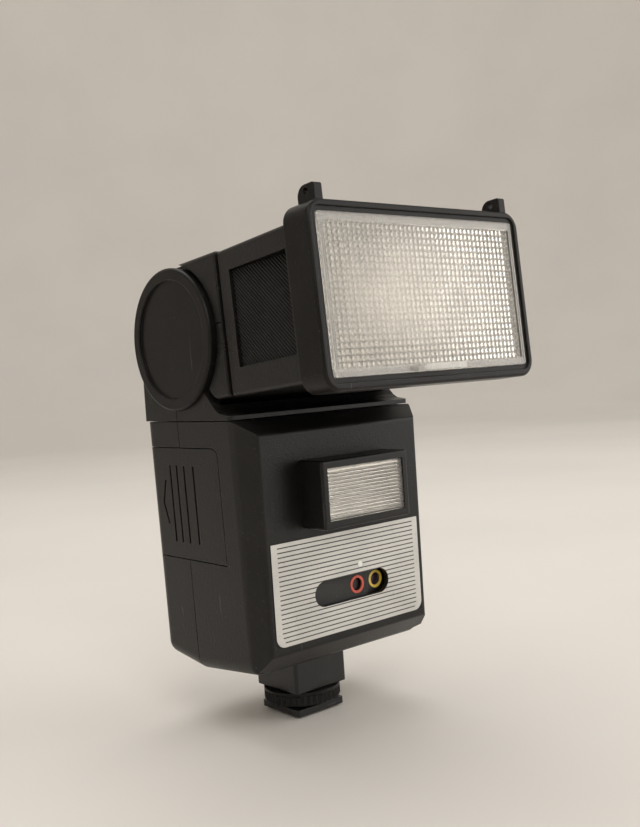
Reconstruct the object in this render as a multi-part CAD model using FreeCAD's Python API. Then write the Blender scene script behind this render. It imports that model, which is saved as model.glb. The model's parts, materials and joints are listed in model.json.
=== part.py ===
import FreeCAD, Part
import math
import os

# Shoe-mount speedlight flash, in millimetres.
# Frame: origin at the centre of the shoe plate's underside, +Z up, +X to the right of a
# person who looks at the front, and the front faces -Y.
# The head is modelled in its own frame: x across, s forward and n up, with the origin on
# the tilt axis. It is then set at its rest tilt.

V = FreeCAD.Vector
os.makedirs("parts", exist_ok=True)

# ---- driving dimensions -------------------------------------------------------------
WALL = 2.0              # moulded wall
GAP = 0.3               # play between pieces that move
FIT = 0.05              # radial play of a running or assembled round fit
SEAM = 0.3              # width of a parting groove
SEAM_DEPTH = 0.5        # depth of a parting groove

PLATE = 18.6            # standard accessory-shoe plate, square
PLATE_T = 2.0           # its thickness
STEM_R = 5.0            # stem between shoe plate and foot block
STEM_FLAT = 4.2         # half the distance between the stem's flats
WHEEL_R = 12.25
WHEEL_Z = (3.0, 7.2)
WHEEL_TEETH = 40
RING_R = 9.0            # pressure ring
RING_Z = (2.6, 4.4)
RING_TRAVEL = 1.0
PIN_R = 1.2             # hot-shoe contact pin
PIN_TIP = -0.8
FOOT_HALF = 10.25       # foot block, half its square side
FOOT_Z = 7.55

BODY_Z = (20.7, 94.6)   # bottom at the front and rear faces, and top
BELLY_Z = 18.0          # bottom where the shells meet; both are drafted up from there
BODY_HALF = (33.8, 35.65)   # half-width at the bottom and at the top
BODY_Y = (-21.0, 26.2)
PANEL_Y = -27.3         # face of the raised front panel
PANEL_HALF = 31.1
PANEL_Z = (27.0, 90.5)
SPLIT_Y = 6.7           # front and rear shells meet here
EDGE_R = 4.5            # outer edges of the body
CORNER_R = 3.0          # lower corners of the label, upper front corner of the door

LABEL_HALF = 29.3
LABEL_Z = (29.2, 58.9)
LABEL_LINES = 21
SLOT_X = (-14.3, 15.4)
SLOT_Z = (37.7, 45.3)
RED_X = 4.0
SENSOR_X = 12.6
RING_OUT = 2.75         # coloured rings of the sensor window
RING_IN = 1.95

HOOD_HALF = 17.0        # fill-flash hood
HOOD_Z = (61.9, 81.85)
HOOD_Y = -37.5

DOOR_Z = (52.3, 86.9)   # opening of the battery door
DOOR_Y = -13.2
DOOR_IN_X = -31.2       # inner face of the door
DOOR_FLANGE = 1.0       # thickness and overhang of the door's guide flange
GROOVE_Y = (0.5, 5.5, 9.6, 13.3)
GROOVE_Z = (57.5, 81.3)
GROOVE_DEPTH = 0.55

CELL_R = 7.0            # AA cell
CELL_LENGTH = 50.5
CELL_PITCH = 14.7
TRAY_Y = 5.2            # centre of the battery tray
TRAY_HALF = 14.7        # half the tray's inner square
TRAY_WALL = 1.0
TRAY_X = (-30.4, 21.6)

NECK_GAP = 0.3          # turret over body
NECK_HALF = 35.66
NECK_REAR = 26.05
NECK_FRONT = -20.6
PIVOT_Y = 5.33
PIVOT_Z = 119.37
CAP_R = 21.4
CAP_RECESS_R = 17.8
CAP_X = 37.2
CAP_ROUND = 0.9         # rounding of the cap's outer edge
EAR_R = 21.1
EAR_IN = 32.2           # inner face of each ear
CRADLE_R = 22.2
AXLE_R = 8.0
HUB_R = 9.95
HUB_BORE_R = 6.5

TILT = 4.26             # rest tilt of the head, degrees above level
BARREL_R = 21.8
BARREL_HALF = 31.9
HEAD_HALF = 35.2
HEAD_N = (-19.8, 21.8)
HEAD_S = 24.9           # front end of the rear shells
HEAD_SPLIT = 1.5
SLEEVE_S = (25.5, 63.5)
SLEEVE_HALF = (34.5, 37.0)
SLEEVE_N = (-19.9, 21.5)
GRIP_S = (31.0, 59.0)
GRIP_N = (-12.0, 15.3)
BEZEL_S = (63.5, 73.0)
BEZEL_HALF = 40.1
BEZEL_N = (-23.0, 24.95)
LENS_HALF = 36.9
LENS_N = (-19.55, 21.85)
PANEL_S = (71.9, 73.0)  # clear wide panel
TAB_HALF = 8.1
TAB_S = 76.0
LUG_X = (33.7, 36.2)
LUG_S = (65.6, 72.3)
LUG_N = 29.2
LUG_HOLE = (68.9, 27.5)
LUG_HOLE_R = 0.9

DIAL_R = 17.0           # exposure calculator on the rear
DIAL_Z = 66.0
CONTROL_Z = 34.0        # row of rear controls
SWITCH_X = 15.0

TOP_IN = BODY_Z[1] - WALL
REAR_IN = BODY_Y[1] - WALL
SWIVEL_Y = (BODY_Y[0] + BODY_Y[1]) / 2
TRAY_Z = (DOOR_Z[0] + DOOR_Z[1]) / 2


# ---- helpers ------------------------------------------------------------------------
def box(x, y, z):
    """Box from three (low, high) pairs."""
    return Part.makeBox(x[1] - x[0], y[1] - y[0], z[1] - z[0], V(x[0], y[0], z[0]))


def rod(axis, radius, span, first, second):
    """Cylinder along axis over span, centred at the other two coordinates in X, Y, Z order."""
    length = span[1] - span[0]
    if axis == "x":
        return Part.makeCylinder(radius, length, V(span[0], first, second), V(1, 0, 0))
    if axis == "y":
        return Part.makeCylinder(radius, length, V(first, span[0], second), V(0, 1, 0))
    return Part.makeCylinder(radius, length, V(first, second, span[0]), V(0, 0, 1))


def tube(axis, outer, inner, span, first, second):
    """Hollow cylinder."""
    return rod(axis, outer, span, first, second).cut(rod(axis, inner, span, first, second))


def prism_x(points, span):
    """Outline of (y, z) points, extruded along X."""
    wire = Part.makePolygon([V(span[0], y, z) for y, z in points + points[:1]])
    return Part.Face(wire).extrude(V(span[1] - span[0], 0, 0))


def prism_y(points, span):
    """Outline of (x, z) points, extruded along Y."""
    wire = Part.makePolygon([V(x, span[0], z) for x, z in points + points[:1]])
    return Part.Face(wire).extrude(V(0, span[1] - span[0], 0))


def prism_z(points, span):
    """Outline of (x, y) points, extruded along Z."""
    wire = Part.makePolygon([V(x, y, span[0]) for x, y in points + points[:1]])
    return Part.Face(wire).extrude(V(0, 0, span[1] - span[0]))


def centred(half, middle=0.0):
    """(low, high) pair about middle."""
    return (middle - half, middle + half)


def grown(span, by):
    """Span made longer at both ends."""
    return (span[0] - by, span[1] + by)


def edges_where(shape, test):
    """Edges whose two ends and middle all pass the test."""
    found = []
    for edge in shape.Edges:
        middle = edge.valueAt((edge.FirstParameter + edge.LastParameter) / 2)
        ends = [vertex.Point for vertex in edge.Vertexes]
        if all(test(point) for point in ends + [middle]):
            found.append(edge)
    return found


def along(shape, axis):
    """Straight edges that run along one axis."""
    found = []
    for edge in shape.Edges:
        if edge.Curve.TypeId == "Part::GeomLine" and abs(getattr(edge.Curve.Direction, axis)) > 0.999:
            found.append(edge)
    return found


def soft_box(x, y, z, axis, radius):
    """Box whose edges along one axis are rounded."""
    block = box(x, y, z)
    return block.makeFillet(radius, along(block, axis))


def pill(x, z, y):
    """Slot with round ends, long in X, extruded along Y."""
    radius = (z[1] - z[0]) / 2
    middle = (z[0] + z[1]) / 2
    shape = box((x[0] + radius, x[1] - radius), y, z)
    shape = shape.fuse(rod("y", radius, y, x[0] + radius, middle))
    return shape.fuse(rod("y", radius, y, x[1] - radius, middle)).removeSplitter()


def head_box(x, s, n):
    """Box in the head's frame."""
    return box(x, (-s[1], -s[0]), n)


def head_placed(shape):
    """Shape taken from the head's frame to the object's frame."""
    placed = shape.copy()
    placed.rotate(V(0, 0, 0), V(1, 0, 0), -TILT)
    placed.translate(V(0, PIVOT_Y, PIVOT_Z))
    return placed


def both_sides(shape):
    """Shape on the +X side together with its mirror image."""
    return Part.makeCompound([shape, mirror_x(shape)])


def mirror_x(shape):
    """Mirror image on the other side."""
    return shape.mirror(V(0, 0, 0), V(1, 0, 0))


def write(name, shape):
    """Check that the node is made of closed solids and write its file."""
    solids = shape.Solids
    if not solids or not all(solid.isValid() and solid.isClosed() for solid in solids):
        raise ValueError("bad solid in " + name)
    kept = solids[0] if len(solids) == 1 else Part.makeCompound(solids)
    kept.exportStep("parts/" + name + ".step")
    print(name, len(solids), round(sum(solid.Volume for solid in solids), 1))


# ---- body shells --------------------------------------------------------------------
def half_width(z):
    """Half-width of the tapered body at a height."""
    share = (z - BODY_Z[0]) / (BODY_Z[1] - BODY_Z[0])
    return BODY_HALF[0] + share * (BODY_HALF[1] - BODY_HALF[0])


def body_blank(inset):
    """Body with a drafted underside and a raised front panel, drawn in by inset on every side."""
    low = BELLY_Z + inset
    high = BODY_Z[1] - inset
    outline = side_lines(low, inset) + side_lines(high, inset)[::-1]
    across = (BODY_Y[0] + inset, BODY_Y[1] - inset)
    edge_low = BODY_Z[0] + inset
    profile = [(across[0], edge_low), (SPLIT_Y, low), (across[1], edge_low)]
    profile += [(across[1], high), (across[0], high)]
    block = prism_y(outline, across).common(prism_x(profile, (-60, 60)))
    base = side_lines(edge_low, inset) + side_lines(high, inset)[::-1]
    back = Part.makePolygon([V(x, across[0], z) for x, z in base + base[:1]])
    face_half = PANEL_HALF - inset / 2
    face_low = PANEL_Z[0] + inset / 2
    face_high = PANEL_Z[1] - inset / 2
    corners = [(-face_half, face_low), (face_half, face_low)]
    corners += [(face_half, face_high), (-face_half, face_high)]
    front = Part.makePolygon([V(x, PANEL_Y + inset, z) for x, z in corners + corners[:1]])
    panel = Part.makeLoft([front, back], True, True)
    return block.fuse(panel).removeSplitter()


def side_lines(z, inset):
    """The (x, z) points on the body's two sides at a height, drawn in by inset."""
    half = half_width(z) - inset
    return [(-half, z), (half, z)]


def body_form(inset):
    """Body drawn in by inset, with its edges rounded."""
    blank = body_blank(inset)
    top = BODY_Z[1] - inset - 0.5
    face = PANEL_Y + inset + 0.01
    soft = edges_where(blank, lambda p: p.z < top and p.y > face)
    soft = [edge for edge in soft if abs(edge.Vertexes[0].Point.y - SPLIT_Y) > 1 or not runs_across(edge)]
    soft += [edge for edge in blank.Edges if runs_down_side(edge)]
    blank = blank.makeFillet(EDGE_R - inset, soft)
    crisp = edges_where(blank, lambda p: p.y < face)
    return blank.makeFillet(EDGE_R / 3, crisp)


def runs_across(edge):
    """True for an edge from one side of the body to the other."""
    return abs(edge.Vertexes[0].Point.x - edge.Vertexes[-1].Point.x) > 40


def runs_down_side(edge):
    """True for the long edges between top and bottom, behind the panel's face."""
    points = [vertex.Point for vertex in edge.Vertexes]
    tall = abs(points[0].z - points[1].z) > BODY_Z[1] - BODY_Z[0] - 1
    return tall and points[0].y > PANEL_Y + 1


def parting_groove(outer, inner_by_depth):
    """Ring that cuts a shallow groove where the two shells meet."""
    slab = box((-60, 60), centred(SEAM / 2, SPLIT_Y), (0, 200))
    return outer.common(slab).cut(inner_by_depth)


def door_outline(play):
    """Front-view outline of the battery door: plate in the opening, guide flange behind."""
    low = DOOR_Z[0] + GAP - play
    high = DOOR_Z[1] - GAP + play
    outside = -40.0
    plate_in = DOOR_IN_X - DOOR_FLANGE - play
    inside = DOOR_IN_X + play
    reach = DOOR_FLANGE + GAP
    return [
        (outside, low), (plate_in, low), (plate_in, low - reach), (inside, low - reach),
        (inside, high + reach), (plate_in, high + reach), (plate_in, high), (outside, high),
    ]


def door_passage():
    """Space that the door needs in the shells, open to the rear."""
    passage = prism_y(door_outline(GAP), (DOOR_Y, BODY_Y[1] + 1))
    corner = passage.Edges
    top_front = [e for e in corner if is_door_corner(e)]
    return passage.makeFillet(CORNER_R, top_front)


def is_door_corner(edge):
    """True for the door's upper front corner edge."""
    middle = edge.valueAt((edge.FirstParameter + edge.LastParameter) / 2)
    near_front = abs(middle.y - DOOR_Y) < 1.0
    near_top = abs(middle.z - DOOR_Z[1]) < 1.0
    across = abs(edge.Vertexes[0].Point.x - edge.Vertexes[-1].Point.x) > 2.0
    return near_front and near_top and across


SCREW_X = 28.0
SCREW_Z = (28.0, 89.5)
SCREW_SHAFT_R = 1.05
SCREW_HEAD_R = 2.7
BOSS_R = 3.6


def screw_places():
    """Centres of the four body screws."""
    return [(side * SCREW_X, z) for side in (-1, 1) for z in SCREW_Z]


def body_shells():
    """Front and rear shells, with every opening and boss."""
    outer = body_form(0)
    inner = body_form(WALL)
    shell = outer.cut(inner)
    shell = shell.cut(parting_groove(outer, body_form(SEAM_DEPTH)))
    for x, z in screw_places():
        boss = rod("y", BOSS_R, (PANEL_Y, REAR_IN + 0.5), x, z)
        shell = shell.fuse(boss.common(outer))
    shell = shell.cut(door_passage())
    shell = shell.cut(rod("z", HUB_R + FIT, (TOP_IN - 1, BODY_Z[1] + 1), 0, SWIVEL_Y))
    shell = shell.cut(box(centred(FOOT_HALF), centred(FOOT_HALF), (BELLY_Z - 1, BODY_Z[0] + WALL + 1)))
    for x, z in screw_places():
        shell = shell.cut(rod("y", SCREW_SHAFT_R + FIT, (-4, BODY_Y[1] + 1), x, z))
        shell = shell.cut(rod("y", SCREW_HEAD_R + 0.15, (REAR_IN, BODY_Y[1] + 1), x, z))
    front_half = box((-60, 60), (-60, SPLIT_Y), (0, 200))
    front = shell.common(front_half).cut(front_openings())
    rear = shell.cut(front_half).cut(rear_openings())
    write("body_front_shell", front.removeSplitter())
    write("body_rear_shell", rear.removeSplitter())


LABEL_T = 0.4
LABEL_SINK = 0.2
SLOT_SKIN_Y = -25.8     # back of the skin round the slot
SLIDER_Y = (-25.5, -24.8)
SLIDER_X = (-24.0, 8.2)
SLIDER_TRAVEL = 8.6
SLIDER_Z = (36.8, 46.2)


def front_openings():
    """Openings of the front shell: label recess, slot, slider pocket and fill-flash mouth."""
    recess = box(centred(LABEL_HALF), (PANEL_Y - 1, PANEL_Y + LABEL_SINK), LABEL_Z)
    slot = pill(SLOT_X, SLOT_Z, (PANEL_Y - 1, PANEL_Y + WALL + 1))
    pocket_x = (SLIDER_X[0] - GAP, SLIDER_X[1] + SLIDER_TRAVEL + GAP)
    pocket = box(pocket_x, (SLOT_SKIN_Y, PANEL_Y + WALL), grown(SLIDER_Z, GAP))
    mouth = box(centred(HOOD_HALF - WALL), (PANEL_Y - 1, PANEL_Y + WALL + 1), grown(HOOD_Z, -WALL))
    return Part.makeCompound([recess, slot, pocket, mouth])


DIAL_FLOOR = BODY_Y[1] - 1.0    # floor of the round recess under the dial
SCALE_X = (-28.0, 30.0)
SCALE_Z = (46.9, 86.0)
SCALE_T = 0.3
SWITCH_HALF = 4.0
SWITCH_TRAVEL = 5.0
SWITCH_TALL = 2.2
BUTTON_R = 3.5
LAMP_R = 2.2
LAMP_Z = 43.6


def rear_openings():
    """Openings of the rear shell: scale recess, dial recess, switch slots and button hole."""
    through = (REAR_IN - 1, BODY_Y[1] + 1)
    scale = box(SCALE_X, (BODY_Y[1] - SCALE_T, BODY_Y[1] + 1), SCALE_Z)
    dial = rod("y", DIAL_R + 0.4, (DIAL_FLOOR, BODY_Y[1] + 1), 0, DIAL_Z)
    pivot = rod("y", 2.0 + FIT, through, 0, DIAL_Z)
    slots = [switch_slot(x, through) for x in (-SWITCH_X, SWITCH_X)]
    button = rod("y", BUTTON_R + FIT, through, 0, CONTROL_Z)
    lamp = rod("y", LAMP_R, through, 0, LAMP_Z)
    return Part.makeCompound([scale, dial, pivot, button, lamp] + slots)


def switch_slot(x, through):
    """Slot for one rear switch. The knob rests at its -X end."""
    span = (x - SWITCH_HALF - GAP, x + SWITCH_HALF + SWITCH_TRAVEL + GAP)
    return box(span, through, centred(SWITCH_TALL + GAP, CONTROL_Z))


# ---- front of the body --------------------------------------------------------------
def label_plate():
    """Thin plate with fine engraved lines and the pill-shaped cut-out."""
    span_y = (PANEL_Y + LABEL_SINK - LABEL_T, PANEL_Y + LABEL_SINK)
    plate = box(centred(LABEL_HALF), span_y, LABEL_Z)
    lower = [edge for edge in along(plate, "y") if edge.Vertexes[0].Point.z < LABEL_Z[0] + 1]
    plate = plate.makeFillet(CORNER_R, lower)
    pitch = (LABEL_Z[1] - LABEL_Z[0] - 2.6) / (LABEL_LINES - 1)
    margin = 2.2
    for index in range(LABEL_LINES):
        z = LABEL_Z[0] + 1.3 + index * pitch
        near_corner = max(0.0, CORNER_R - (z - LABEL_Z[0])) / 2
        line_y = (span_y[0] - 1, span_y[0] + 0.08)
        line = box(centred(LABEL_HALF - margin - near_corner), line_y, centred(0.17, z))
        plate = plate.cut(line)
    plate = plate.cut(pill(SLOT_X, SLOT_Z, grown(span_y, 1)))
    write("label_plate", plate)


HOLDER_Y = (-25.3, -22.9)
HOLDER_FACE = -24.5     # channel floor behind the slider


def sensor_window():
    """Slider, its two coloured rings, the sensor and the holder that guides the slider."""
    slot_middle = (SLOT_Z[0] + SLOT_Z[1]) / 2
    slider = box(SLIDER_X, SLIDER_Y, SLIDER_Z)
    sunk = (SLIDER_Y[0] - 1, SLIDER_Y[0] + 0.3)
    slider = slider.cut(rod("y", RING_OUT, sunk, RED_X, slot_middle))
    slider = slider.cut(rod("y", RING_IN, grown(SLIDER_Y, 1), RED_X, slot_middle))
    write("aperture_slider", slider)
    red = tube("y", RING_OUT, RING_IN, (SLIDER_Y[0] - 0.15, SLIDER_Y[0] + 0.3), RED_X, slot_middle)
    write("red_ring", red)

    holder = box((-27.0, 20.0), HOLDER_Y, grown(SLIDER_Z, 2.2))
    channel_x = (SLIDER_X[0] - GAP, SLIDER_X[1] + SLIDER_TRAVEL + GAP)
    holder = holder.cut(box(channel_x, (HOLDER_Y[0] - 1, HOLDER_FACE), grown(SLIDER_Z, GAP)))
    holder = holder.cut(rod("y", RING_OUT, (HOLDER_FACE - 1, HOLDER_FACE + 0.4), SENSOR_X, slot_middle))
    holder = holder.cut(rod("y", RING_IN, grown(HOLDER_Y, 1), SENSOR_X, slot_middle))
    write("sensor_holder", holder)
    yellow = tube("y", RING_OUT, RING_IN, (HOLDER_FACE, HOLDER_FACE + 0.4), SENSOR_X, slot_middle)
    write("yellow_ring", yellow)
    sensor = rod("y", RING_IN - FIT, (HOLDER_FACE + 0.6, HOLDER_Y[1] + 2.0), SENSOR_X, slot_middle)
    sensor = sensor.fuse(rod("y", 2.4, (HOLDER_Y[1], HOLDER_Y[1] + 2.6), SENSOR_X, slot_middle))
    write("photo_sensor", sensor.removeSplitter())


def trough(x_half, depth, mouth, wall, sheet):
    """Reflector trough in (depth, height): deep end first. Two flat flanks and a back, with ends."""
    back, front = depth
    low, high = mouth
    middle = (low + high) / 2
    waist = (high - low) * 0.13
    knee = back + (front - back) * 0.3
    flare = (high - low) * 0.33
    outline = [
        (back, middle - waist), (knee, middle - flare), (front, low),
        (front, high), (knee, middle + flare), (back, middle + waist),
    ]
    outer = sheet(outline, centred(x_half))
    hollow_outline = [
        (back + wall, middle - waist + wall / 2), (knee + wall / 2, middle - flare + wall),
        (front + 1, low + wall), (front + 1, high - wall),
        (knee + wall / 2, middle + flare - wall), (back + wall, middle + waist - wall / 2),
    ]
    return outer.cut(sheet(hollow_outline, centred(x_half - wall)))


def facing_front(points, span):
    """Outline of (distance back to front, z) points, extruded along X, mouth towards -Y."""
    return prism_x([(-depth, z) for depth, z in points], span)


def fill_flash():
    """Small fixed flash: hood, ribbed window, reflector and tube."""
    back = PANEL_Y + WALL
    hood = box(centred(HOOD_HALF), (HOOD_Y, PANEL_Y), HOOD_Z)
    front_edges = edges_where(hood, lambda p: p.y < HOOD_Y + 0.1)
    hood = hood.makeFillet(0.8, along(hood, "y") + front_edges)
    hood = hood.fuse(box(centred(HOOD_HALF - WALL), (PANEL_Y - 1, back), grown(HOOD_Z, -WALL)))
    window_half = 14.9
    window_z = (64.3, 79.5)
    hood = hood.cut(box(centred(window_half), (HOOD_Y - 1, back + 1), window_z))
    write("fill_flash_hood", hood.removeSplitter())

    window_y = (HOOD_Y + 0.35, HOOD_Y + 1.75)
    window = box(centred(window_half), window_y, window_z)
    ribs = 13
    pitch = (window_z[1] - window_z[0] - 1.4) / ribs
    for index in range(ribs):
        z = window_z[0] + 0.7 + (index + 0.5) * pitch
        groove = rod("x", pitch * 0.52, centred(window_half - 0.8), window_y[1] + 0.1, z)
        window = window.cut(groove)
    write("fill_flash_window", window)

    front_depth = -(window_y[1] + 0.2)
    back_depth = -(back - 1.6)
    mouth = (window_z[0] + 0.2, window_z[1] - 0.2)
    reflector = trough(window_half - 0.2, (back_depth, front_depth), mouth, 0.5, facing_front)
    tube_y = -(back_depth + 3.4)
    middle = (mouth[0] + mouth[1]) / 2
    reflector = reflector.cut(rod("x", 1.6, centred(HOOD_HALF), tube_y, middle))
    write("fill_flash_reflector", reflector)
    write("fill_flash_tube", rod("x", 1.5, centred(window_half - 0.1), tube_y, middle))


# ---- battery side -------------------------------------------------------------------
def battery_door():
    """Sliding door with grip grooves and an arrow that points to the rear."""
    blank = prism_y(door_outline(0), (DOOR_Y + GAP, BODY_Y[1]))
    blank = blank.makeFillet(CORNER_R - GAP, [edge for edge in blank.Edges if is_door_corner(edge)])
    door = blank.common(body_form(0))
    marks = [box((-40, -30), centred(0.45, y), GROOVE_Z) for y in GROOVE_Y]
    arrow = [(16.9, 76.6), (19.2, 69.5), (16.9, 62.8), (16.0, 62.8), (18.2, 69.5), (16.0, 76.6)]
    marks.append(prism_x(arrow, (-40, -30)))
    door = door.cut(Part.makeCompound(marks).cut(body_blank(GROOVE_DEPTH)))
    contact_y = centred(13.0, TRAY_Y)
    for z in cell_rows():
        door = door.cut(box((DOOR_IN_X - 0.4, DOOR_IN_X + 1), contact_y, centred(5.0, z)))
    write("battery_door", door)
    strips = [box((DOOR_IN_X - 0.4, DOOR_IN_X + 0.1), contact_y, centred(5.0, z)) for z in cell_rows()]
    write("door_contacts", Part.makeCompound(strips))


def cell_rows():
    """Heights of the two rows of cells."""
    return (TRAY_Z - CELL_PITCH / 2, TRAY_Z + CELL_PITCH / 2)


def batteries():
    """Tray, four cells and the end contacts."""
    inner_y = centred(TRAY_HALF, TRAY_Y)
    inner_z = centred(TRAY_HALF, TRAY_Z)
    tray = box(TRAY_X, grown(inner_y, TRAY_WALL), grown(inner_z, TRAY_WALL))
    tray = tray.cut(box((TRAY_X[0] - 1, TRAY_X[1] - TRAY_WALL), inner_y, inner_z))
    write("battery_tray", tray)
    contact = (TRAY_X[1] - TRAY_WALL - 0.6, TRAY_X[1] - TRAY_WALL)
    columns = (TRAY_Y - CELL_PITCH / 2, TRAY_Y + CELL_PITCH / 2)
    strips = [box(contact, centred(5.0, y), centred(13.0, TRAY_Z)) for y in columns]
    write("battery_contacts", Part.makeCompound(strips))
    cell_x = (contact[0] - CELL_LENGTH, contact[0])
    number = 0
    for y in columns:
        for z in cell_rows():
            number += 1
            write("aa_cell_%d" % number, aa_cell(cell_x, y, z, number in (1, 4)))


def aa_cell(span, y, z, nub_out):
    """One AA cell. Its nub points out of the tray, or in."""
    nub = 1.3
    if nub_out:
        can = rod("x", CELL_R, (span[0] + nub, span[1]), y, z)
        return can.fuse(rod("x", 2.75, (span[0], span[0] + nub), y, z))
    can = rod("x", CELL_R, (span[0], span[1] - nub), y, z)
    return can.fuse(rod("x", 2.75, (span[1] - nub, span[1]), y, z))


# ---- inside the body ----------------------------------------------------------------
BOARD_X = (26.5, 28.1)


def electronics():
    """Circuit board with its main components."""
    write("main_circuit_board", box(BOARD_X, (-10.0, 20.0), (32.0, 84.0)))
    can = rod("x", 11.0, (-24.0, 12.0), 8.0, 37.5)
    write("main_capacitor", can.fuse(rod("x", 9.0, (12.0, 13.0), 8.0, 37.5)))
    core = box((14.5, BOARD_X[0]), (-8.0, 6.0), (33.0, 49.0))
    write("transformer", core.makeFillet(0.8, along(core, "x")))
    write("switching_transistor", box((23.5, BOARD_X[0]), (0.0, 10.0), (60.0, 75.0)))


# ---- foot ---------------------------------------------------------------------------
def foot():
    """Foot block, shoe plate with stem, lock wheel, pressure ring, pin and spring."""
    block = soft_box(centred(FOOT_HALF), centred(FOOT_HALF), (FOOT_Z, BELLY_Z + 0.3), "z", 1.0)
    collar = (BELLY_Z + 0.3, BODY_Z[0] + WALL + 0.1)
    block = block.fuse(box(centred(FOOT_HALF), centred(FOOT_HALF), collar))
    flange = centred(FOOT_HALF + 2.2)
    block = block.fuse(box(flange, flange, (collar[1], collar[1] + 2.0)))
    write("foot_block", block.removeSplitter())

    plate = soft_box(centred(PLATE / 2), centred(PLATE / 2), (0, PLATE_T), "z", 0.8)
    stem = rod("z", STEM_R, (PLATE_T, FOOT_Z), 0, 0).common(box(centred(STEM_FLAT), centred(10), (0, 20)))
    plate = plate.fuse(stem).removeSplitter()
    plate = plate.cut(rod("z", PIN_R + FIT, (-1, 3.0), 0, 0))
    plate = plate.cut(rod("z", 2.3, (1.2, FOOT_Z + 1), 0, 0))
    write("shoe_plate", plate)

    wheel = rod("z", WHEEL_R - 0.5, WHEEL_Z, 0, 0)
    rim = rod("z", WHEEL_R, (WHEEL_Z[1] - 0.9, WHEEL_Z[1]), 0, 0)
    knurl = knurled(WHEEL_R, WHEEL_R - 0.55, WHEEL_TEETH, (WHEEL_Z[0] + 0.3, WHEEL_Z[1] - 1.2))
    wheel = wheel.fuse(rim).fuse(knurl)
    wheel = wheel.cut(rod("z", STEM_R + FIT, grown(WHEEL_Z, 1), 0, 0))
    wheel = wheel.cut(rod("z", RING_R + FIT, (0, RING_Z[1] + RING_TRAVEL + GAP), 0, 0))
    write("lock_wheel", wheel)

    key = rod("z", STEM_R + 0.1, (0, 20), 0, 0).common(box(centred(STEM_FLAT + 0.1), centred(10), (0, 20)))
    write("pressure_ring", rod("z", RING_R, RING_Z, 0, 0).cut(key))

    collar_z = (1.5, 2.2)
    pin = rod("z", PIN_R, (PIN_TIP, collar_z[0]), 0, 0).fuse(rod("z", 2.0, collar_z, 0, 0))
    pin = pin.makeFillet(0.3, edges_where(pin, lambda p: p.z < PIN_TIP + 0.01))
    write("contact_pin", pin.removeSplitter())
    write("contact_pin_spring", coil(1.7, 0.2, (collar_z[1] + 0.25, FOOT_Z - 0.3), 5))


def knurled(outer, root, teeth, span):
    """Straight-toothed disc."""
    points = []
    for index in range(2 * teeth):
        radius = outer if index % 2 == 0 else root
        angle = math.pi * index / teeth
        points.append((radius * math.cos(angle), radius * math.sin(angle)))
    return prism_z(points, span)


def coil(radius, wire, span, turns):
    """Square-wire compression spring about Z."""
    height = span[1] - span[0]
    path = Part.makeHelix(height / turns, height, radius)
    corners = [(-wire, -wire), (wire, -wire), (wire, wire), (-wire, wire), (-wire, -wire)]
    section = Part.makePolygon([V(radius + x, 0, z) for x, z in corners])
    spring = Part.Wire(path.Edges).makePipeShell([section], True, True)
    spring.translate(V(0, 0, span[0]))
    return spring


# ---- rear controls ------------------------------------------------------------------
def rear_controls():
    """Scale plate, calculator dial, two switches, test button and ready lamp."""
    scale_y = (BODY_Y[1] - SCALE_T, BODY_Y[1])
    scale = box(SCALE_X, scale_y, SCALE_Z).cut(rod("y", DIAL_R + 0.4, grown(scale_y, 1), 0, DIAL_Z))
    write("rear_scale_plate", scale)

    dial = rod("y", DIAL_R, (DIAL_FLOOR + GAP, BODY_Y[1] + 0.7), 0, DIAL_Z)
    for index in range(36):
        angle = 2 * math.pi * index / 36
        x = (DIAL_R + 0.5) * math.cos(angle)
        z = DIAL_Z + (DIAL_R + 0.5) * math.sin(angle)
        dial = dial.cut(rod("y", 0.9, (DIAL_FLOOR, BODY_Y[1] + 1), x, z))
    dial = dial.cut(box((-2.5, 2.5), (BODY_Y[1] + 0.3, BODY_Y[1] + 1), (DIAL_Z + 8, DIAL_Z + 13)))
    dial = dial.fuse(rod("y", 2.0, (REAR_IN + 0.1, DIAL_FLOOR + GAP), 0, DIAL_Z))
    write("calculator_dial", dial.removeSplitter())

    for name, x in (("power_switch", -SWITCH_X), ("fill_flash_switch", SWITCH_X)):
        write(name, slide_switch(x))

    button = rod("y", BUTTON_R, (REAR_IN - GAP, BODY_Y[1] + 1.2), 0, CONTROL_Z)
    button = button.makeFillet(0.5, edges_where(button, lambda p: p.y > BODY_Y[1] + 1.1))
    flange = rod("y", BUTTON_R + 1.1, (REAR_IN - GAP - 1.0, REAR_IN - GAP), 0, CONTROL_Z)
    write("test_button", button.fuse(flange).removeSplitter())
    lamp = rod("y", LAMP_R, (REAR_IN - 1.5, BODY_Y[1] + 0.4), 0, LAMP_Z)
    write("ready_lamp", lamp.makeFillet(0.35, edges_where(lamp, lambda p: p.y > BODY_Y[1] + 0.3)))


def slide_switch(x):
    """Ridged knob with a plate behind the wall."""
    knob_y = (REAR_IN - GAP, BODY_Y[1] + 1.4)
    knob = soft_box(centred(SWITCH_HALF, x), knob_y, centred(SWITCH_TALL, CONTROL_Z), "y", 0.5)
    for step in (-2.4, -1.2, 0.0, 1.2, 2.4):
        groove = box(centred(0.3, x + step), (BODY_Y[1] + 1.0, BODY_Y[1] + 2), centred(3, CONTROL_Z))
        knob = knob.cut(groove)
    plate_z = centred(SWITCH_TALL + 1.4, CONTROL_Z)
    plate = box(centred(SWITCH_HALF + 1.2, x), (REAR_IN - GAP - 1.0, REAR_IN - GAP), plate_z)
    return knob.fuse(plate).removeSplitter()


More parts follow.
